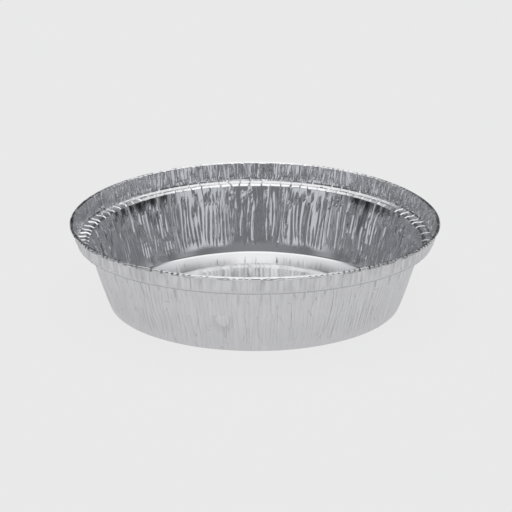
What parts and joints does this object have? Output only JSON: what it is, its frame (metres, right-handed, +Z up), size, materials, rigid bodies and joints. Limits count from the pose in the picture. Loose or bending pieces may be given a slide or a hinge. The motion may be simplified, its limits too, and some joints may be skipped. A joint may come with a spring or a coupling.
{
  "type": "foil pie tin",
  "caption": "Round foil tin with a tapered pleated wall, a narrow ledge, a standing collar and a rolled rim. It holds pies and ready meals.",
  "frame": {"origin": "centre of the base, on the plane that the tin rests on", "axes": "+Z up through the open mouth; +Y towards the back and +X to the right as the picture shows it"},
  "size_m": [0.1818, 0.1818, 0.044],
  "materials": {
    "aluminium_foil": "bright rolled foil, pleated, with a satin outside"
  },
  "bodies": {
    "root": {"tin": "aluminium_foil"}
  },
  "joints": []
}
